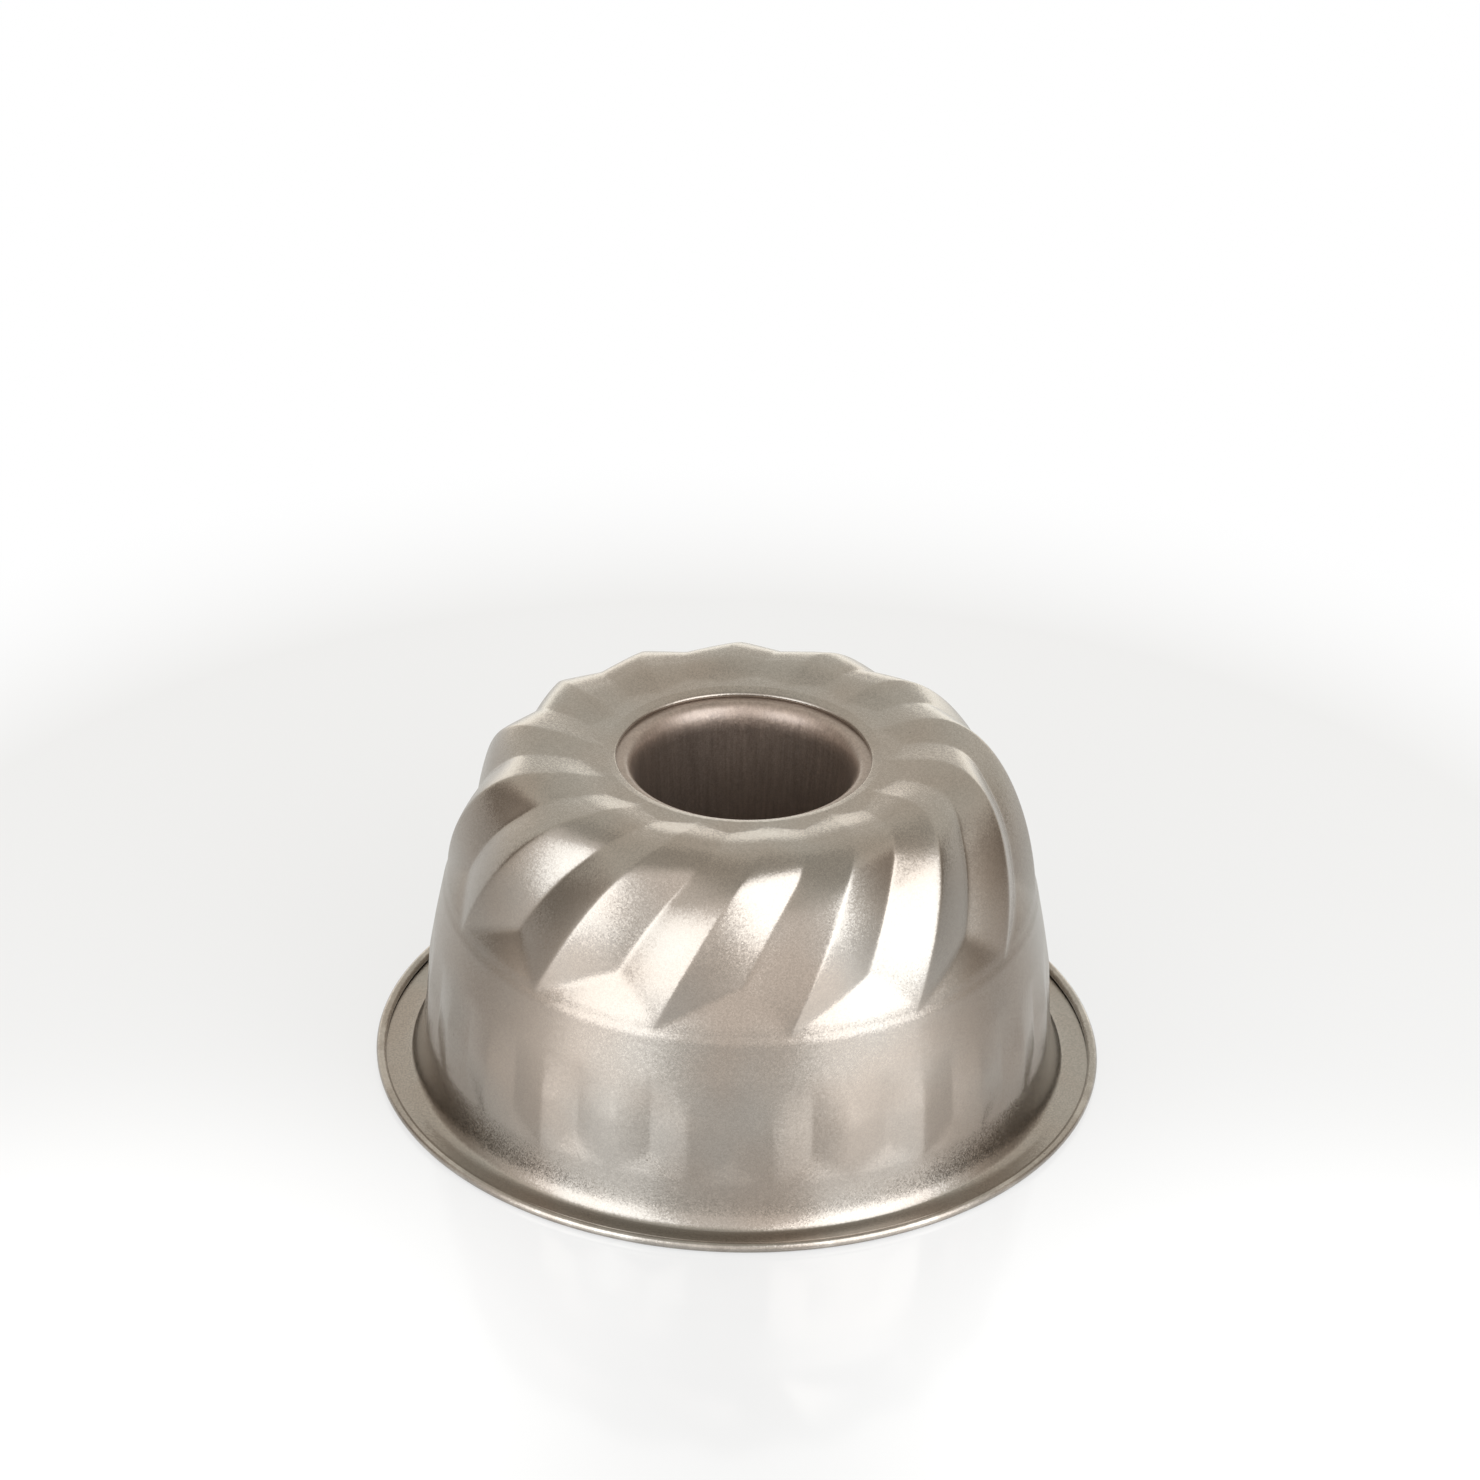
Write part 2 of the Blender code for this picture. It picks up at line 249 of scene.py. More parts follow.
def greater(a, b, width):
    """The greater of two heights, rounded in the same way."""
    return -lesser(-a, -b, width)


def fold(turns, softness):
    """1 at whole turns and 0 half way between, straight in between, its two bends rounded."""
    bend = math.tau * softness
    soft = 1 - bend * bend / 2
    end = np.arccos(soft) / np.pi
    wave = 1 - np.arccos(soft * np.cos(math.tau * turns)) / np.pi
    return (wave - end) / (1 - 2 * end)


def crowded(turns, amount=0.75):
    """Moves evenly spaced columns towards the folds, at whole and half turns."""
    return turns - amount * np.sin(2 * math.tau * turns) / (2 * math.tau)


def line(height, low, high):
    """Radius at a height on the straight line through two points (height, radius)."""
    return low[1] + (height - low[0]) * (high[1] - low[1]) / (high[0] - low[0])


def rim_line(body):
    """Upper side of the rim, from the rolled edge to the top of the wall's flared foot."""
    roll = body.bead / 2
    roll_centre = body.rim_diameter / 2 - roll
    curl = arc(roll_centre, roll, roll - body.sheet, body.curl_end, -math.pi / 2, 12)
    corner_r = roll_centre - body.flange
    start = (corner_r, body.sheet)
    flange = np.linspace(curl[-1], start, 4)[1:-1]
    # The points lie closer near the corner, where the foot bends most.
    climbed = np.linspace(0, 1, 11) ** 1.7 * body.flare_height
    spread = body.flare * np.log(1 + climbed / body.flare_bend)
    foot = np.column_stack((corner_r - spread, body.sheet + climbed))
    return np.concatenate((curl, flange, foot))


def hook_line(body, seam):
    """The body's edge, bent down at the hole and folded back under itself."""
    bend = seam.gap + body.sheet * 3 / 2
    centre = body.ring_height - seam.drop - bend
    fold_under = arc(seam.hook_radius, centre, bend, math.pi / 2, math.pi * 3 / 2, 12)
    start = (seam.radius, body.ring_height)
    end = (seam.hook_radius + seam.hook, centre - bend)
    return np.concatenate(([start], fold_under, [end]))


def passed(points):
    """Share of a line's length passed at each of its points."""
    steps = np.hypot(*np.diff(points, axis=0).T)
    return np.concatenate(([0], np.cumsum(steps))) / steps.sum()


def along(points, shares):
    """(r, z) where these shares of a line's length are passed."""
    done = passed(points)
    return np.interp(shares, done, points[:, 0]), np.interp(shares, done, points[:, 1])


def plain_wall(height, body):
    """Radius of the wall above its flutes."""
    return body.belt_radius + (body.belt_height - height) * math.tan(body.draft)


def ridge_line(height, body, flutes):
    """Radius of a ridge: almost upright up to its bend, then close to the wall's draft."""
    foot_r, foot_z = rim_line(body)[-1]
    bend = (flutes.wall_bend, plain_wall(flutes.wall_bend, body) - flutes.wall_sink)
    top = (flutes.wall_ridge_top, plain_wall(flutes.wall_ridge_top, body))
    return lesser(line(height, (foot_z, foot_r), bend), line(height, bend, top), flutes.wall_edge)


def valley_line(height, body, flutes):
    """Radius of a valley, which leans in less than the plain wall."""
    top = flutes.wall_valley_top
    return plain_wall(top, body) + (top - height) * math.tan(flutes.wall_valley_draft)


def wall_radius(height, ridge, body, flutes):
    """Radius of the wall. ridge is 1 on the ridge between two flutes and 0 in a valley."""
    ridge_r = ridge_line(height, body, flutes)
    valley_r = valley_line(height, body, flutes)
    foot = (flutes.wall_foot, ridge_line(flutes.wall_foot, body, flutes))
    valley_end = (flutes.wall_valley_foot, valley_line(flutes.wall_valley_foot, body, flutes))
    flute = valley_r + (ridge_r - valley_r) * ridge
    flute = lesser(plain_wall(height, body), flute, flutes.wall_edge)
    pressed = greater(flute, line(height, foot, valley_end), flutes.wall_edge)
    return lesser(pressed, ridge_r, flutes.wall_edge)


def wall_fold_share(body, flutes):
    """Half a wall fold's width, in flutes."""
    return flutes.wall_fold * flutes.wall_count / (math.tau * body.belt_radius)


def dome_foot(body):
    """(r, z) of the feet of the dome's flutes, above the band."""
    return body.belt_radius - body.band_inset, body.belt_height + body.band_height


def dome_line(climb, body, seam):
    """(r, z) of a ridge: climb is 0 at its foot, 1 on the crest, 2 at the seam."""
    foot_r, foot_z = dome_foot(body)
    quarter = np.clip(climb, 0, 1) * math.pi / 2
    out = np.maximum(np.cos(quarter), 0) ** body.flank_fullness
    up = np.sin(quarter) ** body.top_fullness
    lean = body.lean * np.sin(2 * quarter)
    flank_r = body.crest_radius + (foot_r - body.crest_radius) * out - lean
    flank_z = foot_z + (body.crest_height - foot_z) * up
    inward = np.clip(climb - 1, 0, 1)
    crown_r = body.crest_radius + (seam.radius - body.crest_radius) * inward
    sunk = smoothstep((body.crest_radius - crown_r) / (body.crest_radius - body.ring_radius))
    crown_z = body.crest_height - (body.crest_height - body.ring_height) * sunk
    on_flank = climb <= 1
    return np.where(on_flank, flank_r, crown_r), np.where(on_flank, flank_z, crown_z)


def dome_point(climb, turns, body, flutes, seam):
    """(r, z) of the dome's folded surface. turns counts flutes from a ridge."""
    r, z = dome_line(climb, body, seam)
    reach = 0.01
    low_r, low_z = dome_line(np.maximum(climb - reach, 0), body, seam)
    high_r, high_z = dome_line(np.minimum(climb + reach, 2), body, seam)
    run = np.hypot(high_r - low_r, high_z - low_z)
    out_r, out_z = (high_z - low_z) / run, (low_r - high_r) / run
    fade = np.clip((climb - flutes.deep_share) / (1 - flutes.deep_share), 0, 1)
    deep = 0.5 + 0.5 * np.cos(np.pi * fade)
    full = flutes.crest_depth + (flutes.depth - flutes.crest_depth) * deep
    inward = np.clip((climb - 1) / flutes.tip_share, 0, 1)
    full = full + (flutes.ring_depth - flutes.crest_depth) * inward
    depth = full * (1 - fold(turns, flutes.fold * flutes.count / (math.tau * r)))
    foot_r, foot_z = dome_foot(body)
    climbed = np.hypot(foot_r - r, z - foot_z)
    soft = 3 * flutes.edge  # over this climb the closing facet starts gently
    closing = flutes.runout * (np.hypot(climbed, soft) - soft)
    floor = np.where(climb > 1, z - body.ring_height, closing)
    depth = lesser(depth, floor, np.where(climb > 1, flutes.ring_edge, flutes.edge))
    return r - depth * out_r, z - depth * out_z


def body_point(station, turn, pan):
    """Points on the body's upper side, for arrays of stations and of turns round the pan."""
    body, flutes, seam = pan.body, pan.flutes, pan.seam
    # The columns start where a ridge of the wall lies almost under one of the dome.
    wall_skip, dome_skip = 2, 1
    wall_flute = flutes.wall_count * turn + 0.5
    dome_flute = flutes.count * turn
    wall_turn = (crowded(wall_flute) + wall_skip) / flutes.wall_count
    dome_turn = (crowded(dome_flute) + dome_skip) / flutes.count
    wall_angle = flutes.wall_angle + math.tau * wall_turn
    dome_angle = flutes.angle + math.tau * dome_turn
    climb = np.clip(station - DOME, 0, 2)
    r, z = dome_point(climb, crowded(dome_flute), body, flutes, seam)
    swirled = dome_angle + flutes.swirl * np.minimum(climb, 1)
    swirled = swirled + flutes.inner_swirl * np.maximum(climb - 1, 0)

    rim_r, rim_z = along(rim_line(body), station - RIM)
    wall_z = rim_z + (body.belt_height - rim_z) * np.clip(station - WALL, 0, 1)
    ridge = 1 - fold(crowded(wall_flute), wall_fold_share(body, flutes))
    wall_r = wall_radius(wall_z, ridge, body, flutes)
    band = [(body.belt_radius, body.belt_height), dome_foot(body)]
    band_r, band_z = along(np.array(band), station - BAND)
    hook_r, hook_z = along(hook_line(body, seam), station - HOOK)
    stretch = [station < WALL, station < BAND, station < DOME, station < HOOK]
    r = np.select(stretch, [rim_r, wall_r, band_r, r], hook_r)
    z = np.select(stretch, [rim_z, wall_z, band_z, z], hook_z)
    plain = (z - flutes.wall_valley_top) / (body.belt_height - flutes.wall_valley_top)
    mix = np.where(station < BAND, smoothstep(plain), 1)
    theta = wall_angle + (swirled - wall_angle) * mix
    return np.column_stack((r * np.sin(theta), -r * np.cos(theta), z))


def body_normal(station, turn, pan):
    """Outward normals of the body's upper side, for the same arrays."""
    reach, side = 1e-3, 1e-4
    ahead = body_point(np.minimum(station + reach, SHEET_END), turn, pan)
    behind = body_point(np.maximum(station - reach, RIM), turn, pan)
    left, right = body_point(station, turn - side, pan), body_point(station, turn + side, pan)
    normal = np.cross(right - left, ahead - behind)
    return normal / np.linalg.norm(normal, axis=1, keepdims=True)


def even_climbs(start, rows, pan):
    """Climbs whose points are evenly spaced along the dome's line, without the last."""
    climbs = np.linspace(0, 1, 400)
    done = passed(np.column_stack(dome_line(start + climbs, pan.body, pan.seam)))
    return np.interp(np.linspace(0, 1, rows + 1)[:-1], done, climbs)


def stations(pan, wall, dome, crown):
    """Stations of the rows: the points of the rim's and the hook's lines, even steps between."""
    body, seam = pan.body, pan.seam
    return np.concatenate((
        RIM + passed(rim_line(body))[:-1],
        WALL + np.linspace(0, 1, wall + 1)[:-1],
        BAND + np.linspace(0, 1, 4)[:-1],
        DOME + even_climbs(0, dome, pan),
        CROWN + even_climbs(1, crown, pan),
        HOOK + passed(hook_line(body, seam)),
    ))


def put_in_order(bm):
    """Sorts edges and faces by their corners, as a spin makes them in another order each run."""
    def place(part):
        corners = [vert.index for vert in part.verts]
        return min(corners) * len(bm.verts) + max(corners)

    bm.verts.index_update()
    bm.edges.sort(key=place)
    bm.faces.sort(key=place)


def finished_mesh(bm, name):
    """Welds the seams of a shape, turns its faces outwards and makes its mesh."""
    bmesh.ops.remove_doubles(bm, verts=bm.verts, dist=1e-6)
    bmesh.ops.recalc_face_normals(bm, faces=bm.faces)
    mesh = bpy.data.meshes.new(name)
    bm.to_mesh(mesh)
    bm.free()
    mesh.shade_smooth()
    mesh.set_sharp_from_angle(angle=math.radians(50))
    return mesh


def new_piece(name, mesh, node, material):
    """Adds a piece that rides on the pan's body and replaces a node of the frame."""
    mesh.materials.append(material)
    piece = bpy.data.objects.new(name, mesh)
    bpy.context.scene.collection.objects.link(piece)
    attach(piece, PAN_BODY)
    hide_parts(node)
    return piece


def add(tree, kind, inputs=None, **settings):
    """Adds a node, sets it up, and sets or links its inputs, named or numbered."""
    node = tree.nodes.new(kind)
    for name, value in settings.items():
        setattr(node, name, value)
    for name, value in (inputs or {}).items():
        if isinstance(value, bpy.types.NodeSocket):
            tree.links.new(value, node.inputs[name])
        else:
            node.inputs[name].default_value = value
    return node


def maths(tree, operation, *values, clamp=False):
    node = add(tree, "ShaderNodeMath", dict(enumerate(values)), operation=operation,
               use_clamp=clamp)
    return node.outputs[0]


def between(tree, value, low, high):
    """0 at low and 1 at high, smooth between."""
    node = add(tree, "ShaderNodeMapRange", {"Value": value, "From Min": low, "From Max": high},
               interpolation_type="SMOOTHSTEP")
    return node.outputs[0]


def rescaled(tree, value, low, high):
    """A value from 0 to 1 brought between these two."""
    node = add(tree, "ShaderNodeMapRange", {"Value": value, "To Min": low, "To Max": high})
    return node.outputs[0]


def blend(tree, factor, first, second, mode="MIX"):
    node = add(tree, "ShaderNodeMix", {0: factor, 6: first, 7: second}, data_type="RGBA",
               blend_type=mode)
    return node.outputs[2]


def noise(tree, place, size, detail=2.0, stretch=(1, 1, 1)):
    """Soft noise with blobs of this size, stretched along the axes."""
    scale = add(tree, "ShaderNodeMapping", {"Vector": place, "Scale": [1 / s for s in stretch]})
    node = add(tree, "ShaderNodeTexNoise", {"Vector": scale.outputs[0], "Scale": 1 / size,
                                            "Detail": detail})
    return node.outputs["Fac"]


def object_place(tree):
    return add(tree, "ShaderNodeTexCoord").outputs["Object"]


def new_group(name, outputs, inputs=()):
    """An empty shader group with these sockets: the group, its given values and its results."""
    group = bpy.data.node_groups.new(name, "ShaderNodeTree")
    for socket, kind in inputs:
        group.interface.new_socket(socket, in_out="INPUT", socket_type="NodeSocket" + kind)
    for socket, kind in outputs:
        group.interface.new_socket(socket, in_out="OUTPUT", socket_type="NodeSocket" + kind)
    given = group.nodes.new("NodeGroupInput").outputs
    return group, given, group.nodes.new("NodeGroupOutput").inputs


def flake_group():
    """Metal flakes: small cells that each lie a little out of the surface."""
    group, given, out = new_group("metal_flake", [("Normal", "Vector"), ("Glint", "Float")],
                                  [("Size", "Float"), ("Tilt", "Float")])
    scale = maths(group, "DIVIDE", 1.0, given["Size"])
    cells = add(group, "ShaderNodeTexVoronoi", {"Vector": object_place(group), "Scale": scale})
    shifted = add(group, "ShaderNodeVectorMath", {0: cells.outputs["Color"], 1: (-0.5, -0.5, -0.5)},
                  operation="ADD")
    lean = add(group, "ShaderNodeVectorMath", {0: shifted.outputs[0], "Scale": given["Tilt"]},
               operation="SCALE")
    facing = add(group, "ShaderNodeNewGeometry").outputs["Normal"]
    total = add(group, "ShaderNodeVectorMath", {0: lean.outputs[0], 1: facing}, operation="ADD")
    unit = add(group, "ShaderNodeVectorMath", {0: total.outputs[0]}, operation="NORMALIZE")
    group.links.new(unit.outputs[0], out["Normal"])
    split = add(group, "ShaderNodeSeparateColor", {0: cells.outputs["Color"]})
    group.links.new(split.outputs[1], out["Glint"])
    return group


def relief_group():
    """Height of the sheet's shallow waves and of the sprayed coat's fine bumps."""
    group, given, out = new_group("sheet_relief", [("Height", "Float")],
                                  [("Wave", "Float"), ("Wave depth", "Float"),
                                   ("Peel", "Float"), ("Peel depth", "Float")])
    place = object_place(group)
    heights = []
    for size, depth in (("Wave", "Wave depth"), ("Peel", "Peel depth")):
        scale = maths(group, "DIVIDE", 1.0, given[size])
        bumps = add(group, "ShaderNodeTexNoise", {"Vector": place, "Scale": scale, "Detail": 1.0})
        heights.append(maths(group, "MULTIPLY", bumps.outputs["Fac"], given[depth]))
    group.links.new(maths(group, "ADD", *heights), out["Height"])
    return group


def marks_group():
    """Traces of handling: a few hair scratches, and specks of dust under the coat."""
    group, _, out = new_group("handling_marks", [("Scratches", "Float"), ("Specks", "Float")])
    place = object_place(group)
    turned = add(group, "ShaderNodeMapping", {"Vector": place, "Rotation": (0.5, 0.9, 0.4)})
    hair_width, patch_size, specks_per_metre = 0.0006, 0.02, 110.0
    hair = noise(group, turned.outputs[0], hair_width, 1.0, (1, 1, 40))
    patches = noise(group, place, patch_size, 1.0)
    scratches = maths(group, "MULTIPLY", between(group, hair, 0.70, 0.74),
                      between(group, patches, 0.58, 0.64))
    group.links.new(scratches, out["Scratches"])
    cells = add(group, "ShaderNodeTexVoronoi", {"Vector": place, "Scale": specks_per_metre})
    chosen = add(group, "ShaderNodeSeparateColor", {0: cells.outputs["Color"]}).outputs[0]
    dot = between(group, cells.outputs["Distance"], 0.05, 0.03)
    specks = maths(group, "MULTIPLY", dot, between(group, chosen, 0.90, 0.91))
    group.links.new(specks, out["Specks"])
    return group


def rim_wear_group():
    """Where the rolled edge is rubbed: patches on the bead only."""
    group, given, out = new_group("rim_wear", [("Rubbed", "Float")], [("Bead radius", "Float")])
    place = object_place(group)
    flat = add(group, "ShaderNodeVectorMath", {0: place, 1: (1, 1, 0)}, operation="MULTIPLY")
    radius = add(group, "ShaderNodeVectorMath", {0: flat.outputs[0]}, operation="LENGTH")
    outside = maths(group, "SUBTRACT", radius.outputs["Value"], given["Bead radius"])
    fade, patch_size = 0.0010, 0.012
    on_bead = between(group, outside, 0.0, fade)
    patches = between(group, noise(group, place, patch_size, 3.0), 0.45, 0.65)
    group.links.new(maths(group, "MULTIPLY", on_bead, patches), out["Rubbed"])
    return group


def shared_group(name, build):
    """The shader group with this name, which is built where it is first needed."""
    return bpy.data.node_groups.get(name) or build()


def coating(name, base, warm, roughness, look):
    """Coated sheet: metal flake, warm patches, shallow relief and traces of handling."""
    material = bpy.data.materials.new(name)
    material.use_nodes = True
    tree = material.node_tree
    shader = tree.nodes["Principled BSDF"]
    place = object_place(tree)
    flake = add(tree, "ShaderNodeGroup", {"Size": look.flake, "Tilt": look.flake_tilt},
                node_tree=shared_group("metal_flake", flake_group)).outputs
    relief = add(tree, "ShaderNodeGroup",
                 {"Wave": look.wave, "Wave depth": look.wave_depth,
                  "Peel": look.peel, "Peel depth": look.peel_depth},
                 node_tree=shared_group("sheet_relief", relief_group)).outputs
    marks = add(tree, "ShaderNodeGroup",
                node_tree=shared_group("handling_marks", marks_group)).outputs
    speck_share, scratch_shine = 0.5, 0.10
    patches = between(tree, noise(tree, place, look.patch), 0.35, 0.65)
    tone = blend(tree, patches, (*base, 1), (*warm, 1))
    glint = rescaled(tree, flake["Glint"], 1 - look.glint, 1 + look.glint)
    tone = blend(tree, 1.0, tone, glint, "MULTIPLY")
    specks = maths(tree, "MULTIPLY", marks["Specks"], speck_share)
    tone = blend(tree, specks, tone, (*look.speck, 1))
    sheen = rescaled(tree, flake["Glint"], roughness - look.sheen, roughness + look.sheen)
    scratches = maths(tree, "MULTIPLY", marks["Scratches"], -scratch_shine)
    sheen = maths(tree, "ADD", sheen, scratches)
    bump = add(tree, "ShaderNodeBump", {"Height": relief["Height"], "Normal": flake["Normal"],
                                        "Distance": 1.0})
    shader.inputs["Metallic"].default_value = 1
    shader.inputs["Coat Weight"].default_value = look.binder
    shader.inputs["Coat Roughness"].default_value = look.binder_roughness
    tree.links.new(tone, shader.inputs["Base Color"])
    tree.links.new(sheen, shader.inputs["Roughness"])
    tree.links.new(bump.outputs[0], shader.inputs["Normal"])
    return material


def body_coating(pan):
    """The body's coat is a little worn on the rolled edge."""
    look = pan.coating
    material = coating("body_coating", look.body, look.warm, look.roughness, look)
    tree = material.node_tree
    shader = tree.nodes["Principled BSDF"]
    tone, sheen = (shader.inputs[name].links[0].from_socket for name in ("Base Color", "Roughness"))
    bead_radius = pan.body.rim_diameter / 2 - pan.body.bead
    rubbed = add(tree, "ShaderNodeGroup", {"Bead radius": bead_radius},
                 node_tree=shared_group("rim_wear", rim_wear_group)).outputs[0]
    worn, shine = 0.35, 0.05
    tone = blend(tree, maths(tree, "MULTIPLY", rubbed, worn), tone, (*look.rubbed, 1))
    sheen = maths(tree, "SUBTRACT", sheen, maths(tree, "MULTIPLY", rubbed, shine))
    tree.links.new(tone, shader.inputs["Base Color"])
    tree.links.new(sheen, shader.inputs["Roughness"])
    return material


def tube_coating(pan):
    """The tube's coat is duller and shows faint upright lines from drawing the tube."""
    look = pan.coating
    patch_shade, darkest, lightest = 0.9, 0.86, 1.08
    dark = [patch_shade * value for value in look.tube]
    material = coating("tube_coating", look.tube, dark, look.tube_roughness, look)
    tree = material.node_tree
    shader = tree.nodes["Principled BSDF"]
    tone = shader.inputs["Base Color"].links[0].from_socket
    shader.inputs["Metallic"].default_value = look.tube_metal
    lines = noise(tree, object_place(tree), look.draw_line, 2.0, (1, 1, 60))
    shade = add(tree, "ShaderNodeMapRange", {"Value": lines, "From Min": 0.3, "From Max": 0.7,
                                             "To Min": darkest, "To Max": lightest}).outputs[0]
    tree.links.new(blend(tree, 1.0, tone, shade, "MULTIPLY"), shader.inputs["Base Color"])
    return material


class PAN_OT_fluted_body(bpy.types.Operator):
    """Models the pressed body with its rolled rim, flutes and lock seam"""
    bl_idname = "tube_pan.fluted_body"
    bl_label = "Fluted body"

    def execute(self, context):
        pan = context.scene.tube_pan
        # A flat grid is bent into the sheet: its rows run over the upper side and back along
        # the underside, where they are fewer, and its columns run round the pan.
        upper = stations(pan, wall=50, dome=46, crown=40)
        lower = stations(pan, wall=16, dome=16, crown=8)[::-1]
        rows = np.concatenate((upper, lower, upper[:1]))
        under = np.concatenate((np.zeros(len(upper)), np.ones(len(lower)), [0]))
        columns = pan.body.columns
        bm = bmesh.new()
        bmesh.ops.create_grid(bm, x_segments=columns, y_segments=len(rows) - 1, size=0.5)
        flat = np.array([vert.co for vert in bm.verts])
        turn = flat[:, 0] + 0.5
        row = np.rint((flat[:, 1] + 0.5) * (len(rows) - 1)).astype(int)
        points = body_point(rows[row], turn, pan)
        normals = body_normal(rows[row], turn, pan)
        points -= normals * (under[row] * pan.body.sheet)[:, None]
        for vert, point in zip(bm.verts, points):
            vert.co = point
        mesh = finished_mesh(bm, "fluted_body_skin")
        new_piece("fluted_body_skin", mesh, "fluted_body",
                  body_coating(pan))
        return {"FINISHED"}


def tube_line(pan):
    """Inner side of the tube, from its edge in the seam to the roll at its free end."""
    body, seam, tube = pan.body, pan.seam, pan.tube
    inside = body.sheet / 2 + seam.gap
    underside = body.ring_height - seam.drop - 2 * (inside + body.sheet)
    ring = underside - seam.gap
    hook_r = seam.hook_radius + seam.hook + seam.gap
    edge = (hook_r - seam.tube_hook, ring + 2 * inside)
    hook = arc(hook_r, ring + inside, inside, math.pi / 2, -math.pi / 2, 8)
    shoulder = arc(1, -1, 1, math.pi / 2, math.pi, 18) * (tube.shoulder, tube.shoulder_height)
    shoulder += (tube.top_radius, ring)
    roll = tube.hem_radius - body.sheet
    hem_centre = (tube.end_radius - roll, tube.end_height + tube.hem_radius)
    hem = arc(*hem_centre, roll, 0, -tube.hem_turn, 14)
    wall = np.linspace(shoulder[-1], hem[0], 14)[1:-1]
    return np.concatenate(([edge], hook, shoulder, wall, hem))


class PAN_OT_centre_tube(bpy.types.Operator):
    """Models the tube that lines the hole, with its half of the lock seam and its hem"""
    bl_idname = "tube_pan.centre_tube"
    bl_label = "Centre tube"

    def execute(self, context):
        pan = context.scene.tube_pan
        bm = bmesh.new()
        verts = [bm.verts.new((r, 0, z)) for r, z in tube_line(pan)]
        edges = [bm.edges.new(pair) for pair in zip(verts, verts[1:])]
        bmesh.ops.spin(bm, geom=verts + edges, cent=(0, 0, 0), axis=(0, 0, 1), angle=math.tau,
                       steps=pan.tube.columns, use_merge=True)
        put_in_order(bm)
        mesh = finished_mesh(bm, "centre_tube_skin")
        piece = new_piece("centre_tube_skin", mesh, "centre_tube",
                          tube_coating(pan))
        wall = piece.modifiers.new("sheet", "SOLIDIFY")
        wall.thickness = pan.body.sheet
        wall.offset = -1
        wall.use_even_offset = True
        return {"FINISHED"}


class PAN_OT_studio(bpy.types.Operator):
    """Sets up the floor, the lamps, the background and the camera"""
    bl_idname = "tube_pan.studio"
    bl_label = "Studio"

    def execute(self, context):
        look = context.scene.tube_pan.studio
        bm = bmesh.new()
        bmesh.ops.create_grid(bm, x_segments=1, y_segments=1, size=look.floor_reach)
        mesh = bpy.data.meshes.new("floor")
        bm.to_mesh(mesh)
        bm.free()
        mesh.materials.append(floor_material(look))
        floor = bpy.data.objects.new("floor", mesh)
        context.scene.collection.objects.link(floor)
        soft_box("left_lamp", azimuth=-42, elevation=16, width=0.48, height=0.60,
                 power=look.left_lamp, look=look)
        soft_box("right_lamp", azimuth=44, elevation=25, width=0.56, height=0.78,
                 power=look.right_lamp, look=look)
        table_spot("left_pool", azimuth=-44, power=look.left_pool, look=look)
        table_spot("right_pool", azimuth=44, power=look.right_pool, look=look)
        context.scene.world = room(look)
        place_camera(context.scene, look)
        context.scene.view_settings.view_transform = "Standard"
        return {"FINISHED"}


def floor_material(look):
    """Pale floor, painted darker near the pan as shade for the pan's walls to mirror. The camera
    and reflections see part of it as white, and shadows stay.
    """
    material = bpy.data.materials.new("floor")
    material.use_nodes = True
    tree = material.node_tree
    surface = tree.nodes["Principled BSDF"]
    distance = add(tree, "ShaderNodeVectorMath", {0: object_place(tree)}, operation="LENGTH")
    # Painted shade: the floor has its darker colour near the pan and its far colour from look.far
    # outwards.
    far = between(tree, distance.outputs["Value"], look.near, look.far)
    tone = blend(tree, far, (*look.floor, 1), (*look.far_floor, 1))
    tree.links.new(tone, surface.inputs["Base Color"])
    surface.inputs["Roughness"].default_value = look.floor_roughness
    surface.inputs["IOR"].default_value = look.floor_ior
    ray = add(tree, "ShaderNodeLightPath").outputs
    mirrored = maths(tree, "ADD", ray["Is Glossy Ray"], ray["Is Transmission Ray"], clamp=True)
    mirrored = maths(tree, "MULTIPLY", mirrored, look.glow)
    clear = between(tree, distance.outputs["Value"], look.shadow_start, look.shadow_end)
    plain = maths(tree, "MAXIMUM", clear, look.camera_glow)
    shown = maths(tree, "MULTIPLY", ray["Is Camera Ray"], plain)
    white_share = maths(tree, "ADD", mirrored, shown, clamp=True)
    white = add(tree, "ShaderNodeEmission", {"Color": (1, 1, 1, 1), "Strength": 1.0})
    mixed = add(tree, "ShaderNodeMixShader", {0: white_share, 1: surface.outputs[0],
                                              2: white.outputs[0]})
    tree.links.new(mixed.outputs[0], tree.nodes["Material Output"].inputs["Surface"])
    return material


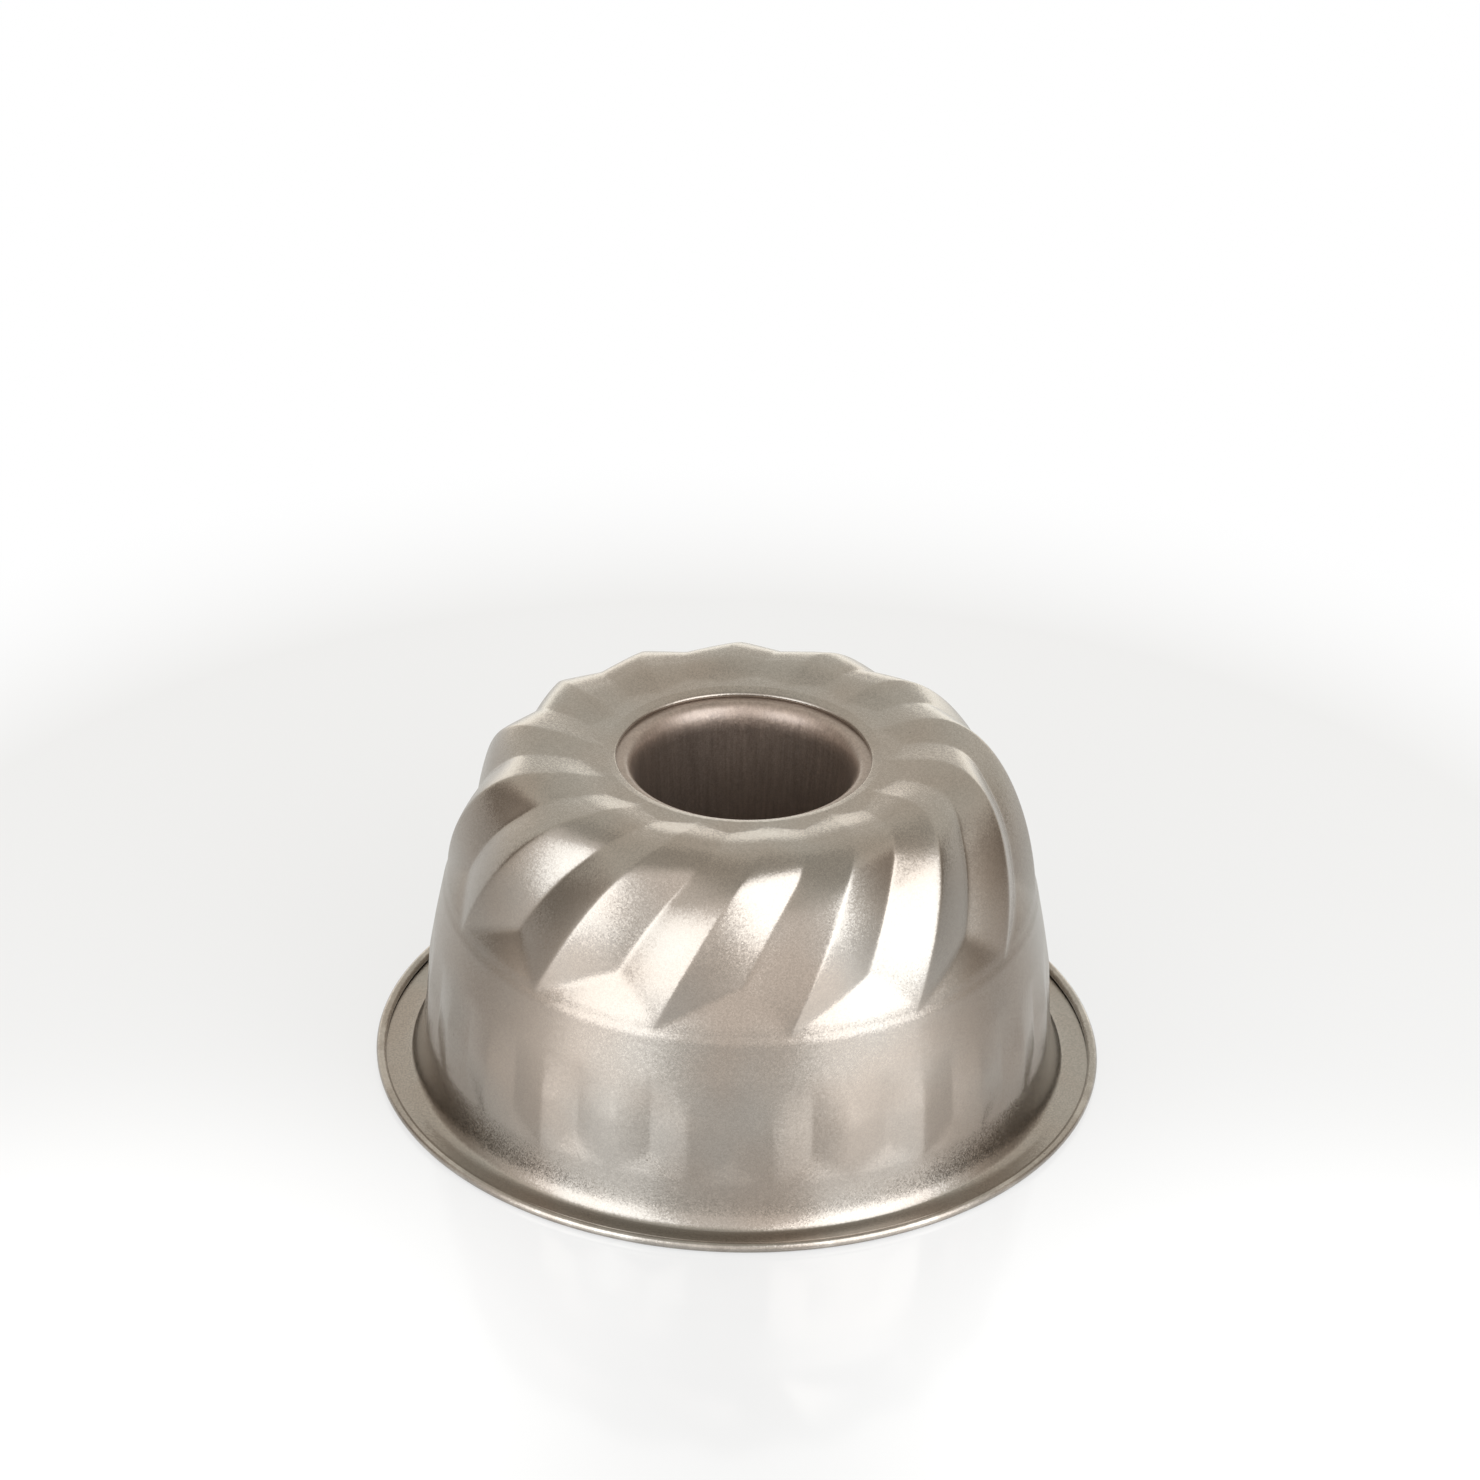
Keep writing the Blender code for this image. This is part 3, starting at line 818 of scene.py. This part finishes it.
def soft_box(name, azimuth, elevation, width, height, power, look):
    """A lamp at these angles (in degrees) from the pan, facing it, dimmer towards its edges."""
    light = bpy.data.lights.new(name, "AREA")
    light.shape = "RECTANGLE"
    light.size = width
    light.size_y = height
    light.energy = power
    light.color = look.lamp_tint
    light.use_nodes = True
    tree = light.node_tree
    on_lamp = add(tree, "ShaderNodeNewGeometry").outputs["Parametric"]
    across = add(tree, "ShaderNodeSeparateXYZ", {0: on_lamp})
    lit = 1.0
    for side in "XY":
        off_centre = maths(tree, "ABSOLUTE", maths(tree, "SUBTRACT", across.outputs[side], 0.5))
        lit = maths(tree, "MULTIPLY", lit, between(tree, off_centre, 0.5, 0.25))
    tree.links.new(lit, tree.nodes["Emission"].inputs["Strength"])
    lamp = bpy.data.objects.new(name, light)
    bpy.context.scene.collection.objects.link(lamp)
    turn, up = math.radians(azimuth), math.radians(elevation)
    towards = Vector((math.sin(turn) * math.cos(up), -math.cos(turn) * math.cos(up), math.sin(up)))
    lamp.location = towards * look.lamp_distance + Vector((0, 0, look.aim))
    lamp.rotation_euler = towards.to_track_quat("Z", "Y").to_euler()
    lamp.visible_camera = False


def table_spot(name, azimuth, power, look):
    """A spot from above that brightens the table beside the pan, and which metal doesn't mirror."""
    light = bpy.data.lights.new(name, "SPOT")
    light.energy = power
    light.spot_size = look.pool_angle
    light.spot_blend = 1
    light.shadow_soft_size = 0.05
    spot = bpy.data.objects.new(name, light)
    bpy.context.scene.collection.objects.link(spot)
    turn = math.radians(azimuth)
    outwards = Vector((math.sin(turn), -math.cos(turn), 0))
    spot.location = outwards * look.spot_radius + Vector((0, 0, look.spot_height))
    backwards = spot.location - outwards * look.pool_radius
    spot.rotation_euler = backwards.to_track_quat("Z", "Y").to_euler()
    spot.visible_camera = False
    spot.visible_glossy = False


def room(look):
    """A pale room, darker at its two sides and overhead, with a bright low backdrop.

    Directions are shares of a unit vector, so that 1 lies straight along an axis.
    """
    world = bpy.data.worlds.new("studio")
    world.use_nodes = True
    tree = world.node_tree
    looking = add(tree, "ShaderNodeTexCoord").outputs["Generated"]
    way = add(tree, "ShaderNodeSeparateXYZ", {0: looking})
    backwards = between(tree, way.outputs["Y"], -0.5, 0.5)
    sideways = between(tree, maths(tree, "ABSOLUTE", way.outputs["X"]), 0.72, 0.95)
    beside = between(tree, way.outputs["Y"], -0.45, 0.35)
    sideways = maths(tree, "MULTIPLY", sideways, beside)
    overhead = between(tree, way.outputs["Z"], 0.70, 0.95)
    low = between(tree, way.outputs["Z"], 0.28, 0.12)
    behind = maths(tree, "MULTIPLY", between(tree, way.outputs["Y"], 0.78, 0.92), low)
    level = look.front
    for share_there, light in ((backwards, look.back), (sideways, look.sides),
                               (overhead, look.ceiling), (behind, look.backdrop)):
        level = add(tree, "ShaderNodeMix", {0: share_there, 2: level, 3: light}).outputs[0]
    khaki = maths(tree, "MAXIMUM", backwards, overhead)
    tint = blend(tree, khaki, (*look.front_tint, 1), (*look.back_tint, 1))
    tint = blend(tree, sideways, tint, (*look.side_tint, 1))
    background = tree.nodes["Background"]
    tree.links.new(tint, background.inputs["Color"])
    tree.links.new(level, background.inputs["Strength"])
    return world


def place_camera(scene, look):
    """Aims the camera at the pan as the photograph does."""
    forward = Vector((0, math.cos(look.elevation), -math.sin(look.elevation)))
    right = Vector((1, 0, 0))
    up = right.cross(forward)
    turned_right = right * math.cos(look.roll) + up * math.sin(look.roll)
    turned_up = up * math.cos(look.roll) - right * math.sin(look.roll)
    data = bpy.data.cameras.new("camera")
    half_frame = data.sensor_width / 2 / look.focal * look.distance
    data.lens = look.focal
    data.clip_start = 0.05
    camera = bpy.data.objects.new("camera", data)
    scene.collection.objects.link(camera)
    place = Vector((0, 0, look.aim)) - forward * look.distance
    place += (turned_up * look.frame_y - turned_right * look.frame_x) * half_frame
    axes = Matrix((turned_right, turned_up, -forward)).transposed().to_4x4()
    camera.matrix_world = Matrix.Translation(place) @ axes
    scene.camera = camera


class TubePan(bpy.types.PropertyGroup):
    """Everything that can be set on the pan"""
    body: PointerProperty(type=BodySizes)
    flutes: PointerProperty(type=FluteSizes)
    seam: PointerProperty(type=SeamSizes)
    tube: PointerProperty(type=TubeSizes)
    coating: PointerProperty(type=CoatingLook)
    studio: PointerProperty(type=StudioLook)


class PAN_PT_sidebar(bpy.types.Panel):
    """Buttons that model the two pieces and set up the studio"""
    bl_idname = "PAN_PT_sidebar"
    bl_label = "Tube pan"
    bl_space_type = "VIEW_3D"
    bl_region_type = "UI"
    bl_category = "Tube pan"

    def draw(self, context):
        for operator in OPERATORS:
            self.layout.operator(operator.bl_idname)


SETTINGS = (BodySizes, FluteSizes, SeamSizes, TubeSizes, CoatingLook, StudioLook, TubePan)
OPERATORS = (PAN_OT_fluted_body, PAN_OT_centre_tube, PAN_OT_studio)
CLASSES = (*SETTINGS, *OPERATORS, PAN_PT_sidebar)


def register():
    for cls in CLASSES:
        bpy.utils.register_class(cls)
    bpy.types.Scene.tube_pan = PointerProperty(type=TubePan)


def unregister():
    del bpy.types.Scene.tube_pan
    for cls in reversed(CLASSES):
        bpy.utils.unregister_class(cls)


def main():
    register()
    bpy.ops.tube_pan.fluted_body()
    bpy.ops.tube_pan.centre_tube()
    bpy.ops.tube_pan.studio()


if __name__ == "__main__":
    main()
